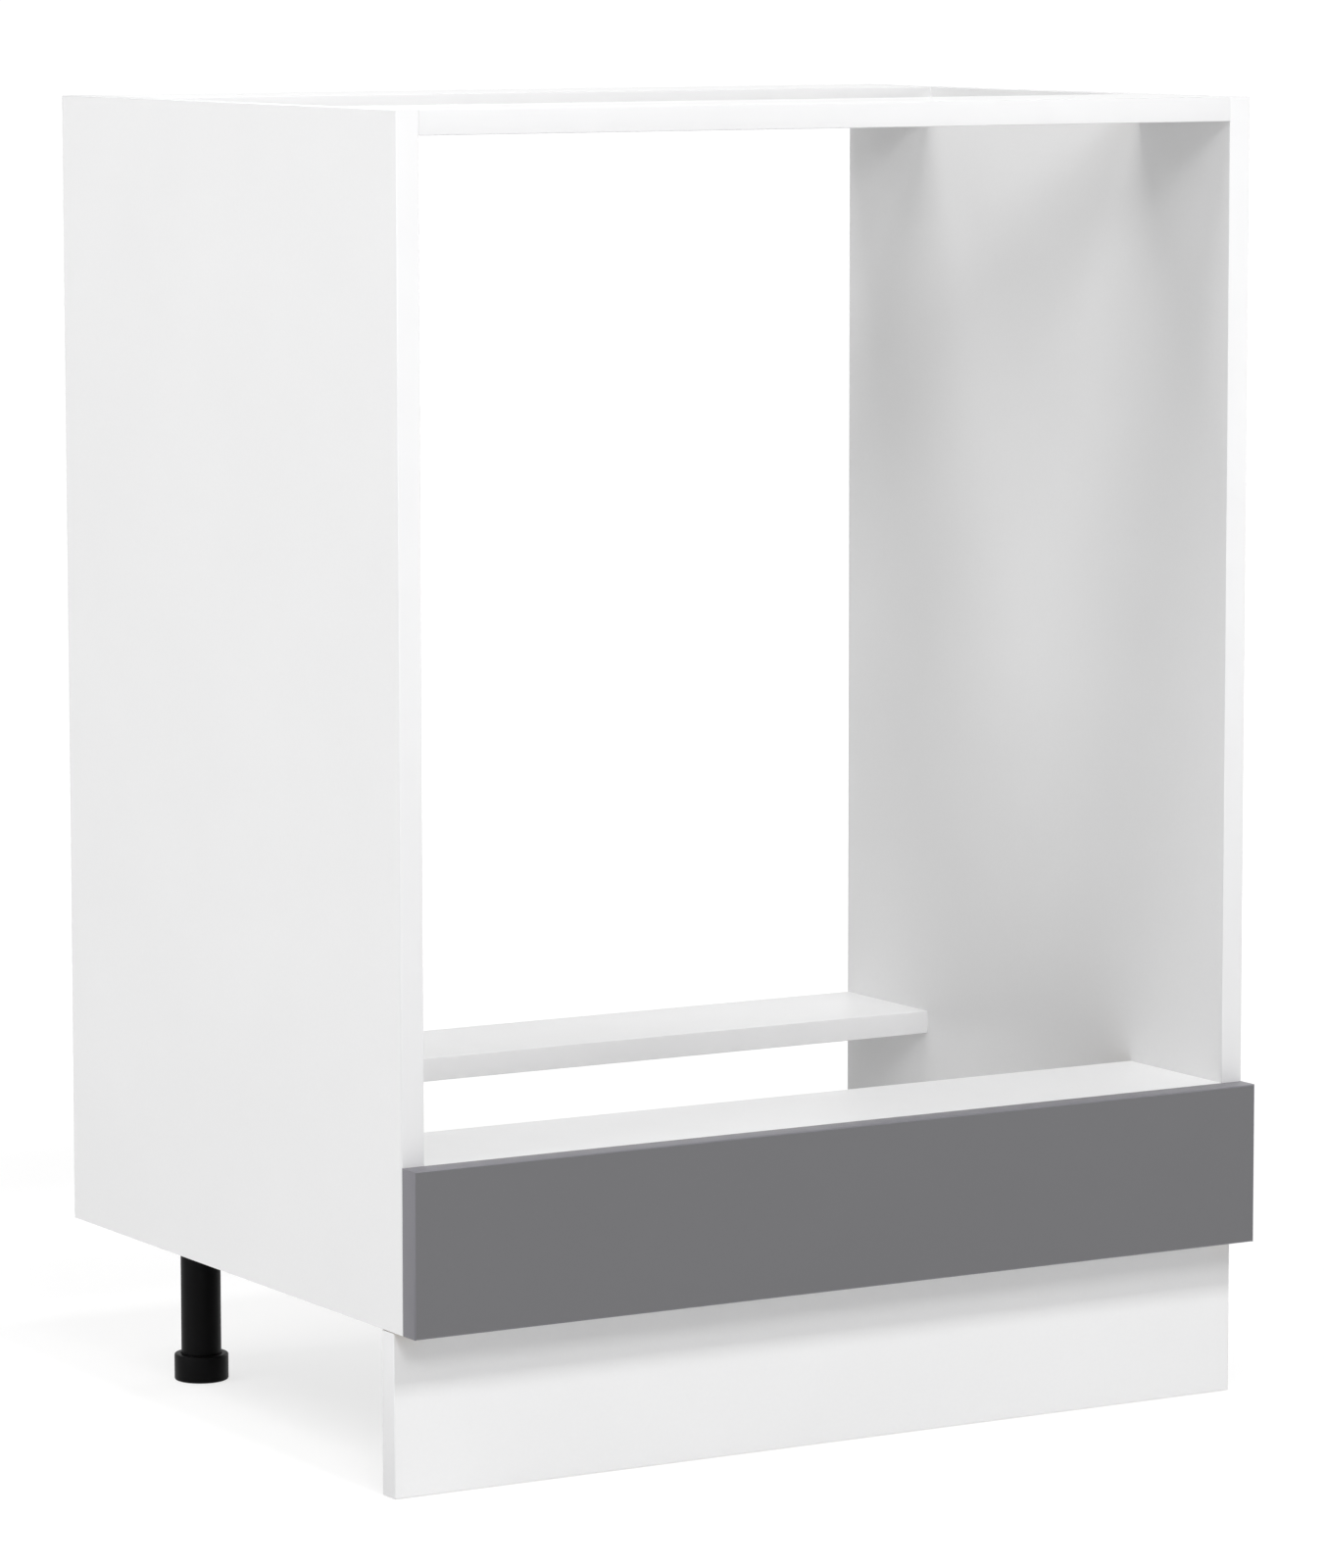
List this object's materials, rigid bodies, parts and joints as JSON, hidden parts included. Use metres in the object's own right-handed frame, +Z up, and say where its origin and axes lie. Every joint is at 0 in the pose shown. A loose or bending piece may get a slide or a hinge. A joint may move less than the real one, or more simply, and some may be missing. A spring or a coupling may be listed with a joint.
{
  "type": "oven base cabinet",
  "caption": "Open kitchen base cabinet for a built-in oven, with a grey fascia board, cross rails, screw feet and a clip-on plinth.",
  "frame": {"origin": "on the floor, midway between the sides and between the fascia's face and the rear edges", "axes": "+X to the cabinet's right as seen from the front, +Y from the fascia to the rear, +Z up"},
  "size_m": [0.6, 0.455, 0.816],
  "materials": {
    "white_board": "white melamine on chipboard, fine satin",
    "grey_board": "grey melamine on chipboard, satin",
    "white_band": "white edge band, satin",
    "grey_band": "grey edge band, satin",
    "black_plastic": "moulded black plastic",
    "zinc": "zinc-plated, dull",
    "screw_steel": "bright zinc-plated",
    "beech": "bare beech"
  },
  "bodies": {
    "carcass": {"side_panel_left": "white_board", "side_panel_right": "white_board", "bottom_panel": "white_board", "top_front_rail": "white_board", "top_rear_rail": "white_board", "front_oven_rail": "white_board", "rear_oven_rail": "white_board", "fascia_panel": "grey_board", "side_bands_left": "white_band", "side_bands_right": "white_band", "top_front_rail_band": "white_band", "top_rear_rail_band": "white_band", "rear_oven_rail_band": "white_band", "fascia_bands": "grey_band", "cam_locks": "zinc", "cam_bolts": "zinc", "dowels": "beech", "leg_socket_front_left": "black_plastic", "leg_socket_front_right": "black_plastic", "leg_socket_rear_left": "black_plastic", "leg_socket_rear_right": "black_plastic", "leg_socket_screws": "screw_steel", "fascia_bracket_left": "zinc", "fascia_bracket_right": "zinc", "fascia_bracket_low_left": "zinc", "fascia_bracket_low_right": "zinc", "fascia_bracket_screws": "screw_steel"},
    "plinth": {"plinth_panel": "white_board", "plinth_bands": "white_band", "clip_plate_left": "black_plastic", "clip_plate_right": "black_plastic", "plinth_clip_left": "black_plastic", "plinth_clip_right": "black_plastic", "clip_plate_screws": "screw_steel"},
    "leg_front_left": {"leg_tube_front_left": "black_plastic"},
    "foot_front_left": {"screw_foot_front_left": "black_plastic"},
    "leg_front_right": {"leg_tube_front_right": "black_plastic"},
    "foot_front_right": {"screw_foot_front_right": "black_plastic"},
    "leg_rear_left": {"leg_tube_rear_left": "black_plastic"},
    "foot_rear_left": {"screw_foot_rear_left": "black_plastic"},
    "leg_rear_right": {"leg_tube_rear_right": "black_plastic"},
    "foot_rear_right": {"screw_foot_rear_right": "black_plastic"}
  },
  "joints": [
    {"name": "plinth_pull", "type": "slide", "parent": "carcass", "child": "plinth", "axis": [0, -1, 0], "range_m": [0, 0.08], "deforming": ["plinth_clip_left", "plinth_clip_right"]},
    {"name": "leg_front_left_turn", "type": "hinge", "parent": "carcass", "child": "leg_front_left", "pos_m": [-0.242, -0.1495, 0.05], "axis": [0, 0, 1], "range_deg": [-450, 1800]},
    {"name": "foot_front_left_lift", "type": "slide", "parent": "carcass", "child": "foot_front_left", "axis": [0, 0, -1], "range_m": [-0.005, 0.02]},
    {"name": "leg_front_right_turn", "type": "hinge", "parent": "carcass", "child": "leg_front_right", "pos_m": [0.242, -0.1495, 0.05], "axis": [0, 0, 1], "range_deg": [-450, 1800]},
    {"name": "foot_front_right_lift", "type": "slide", "parent": "carcass", "child": "foot_front_right", "axis": [0, 0, -1], "range_m": [-0.005, 0.02]},
    {"name": "leg_rear_left_turn", "type": "hinge", "parent": "carcass", "child": "leg_rear_left", "pos_m": [-0.242, 0.1645, 0.05], "axis": [0, 0, 1], "range_deg": [-450, 1800]},
    {"name": "foot_rear_left_lift", "type": "slide", "parent": "carcass", "child": "foot_rear_left", "axis": [0, 0, -1], "range_m": [-0.005, 0.02]},
    {"name": "leg_rear_right_turn", "type": "hinge", "parent": "carcass", "child": "leg_rear_right", "pos_m": [0.242, 0.1645, 0.05], "axis": [0, 0, 1], "range_deg": [-450, 1800]},
    {"name": "foot_rear_right_lift", "type": "slide", "parent": "carcass", "child": "foot_rear_right", "axis": [0, 0, -1], "range_m": [-0.005, 0.02]}
  ],
  "couplings": [
    {"joint": "foot_front_left_lift", "follows": "leg_front_left_turn", "m_per_rad": 0.00063662},
    {"joint": "foot_front_right_lift", "follows": "leg_front_right_turn", "m_per_rad": 0.00063662},
    {"joint": "foot_rear_left_lift", "follows": "leg_rear_left_turn", "m_per_rad": 0.00063662},
    {"joint": "foot_rear_right_lift", "follows": "leg_rear_right_turn", "m_per_rad": 0.00063662}
  ]
}
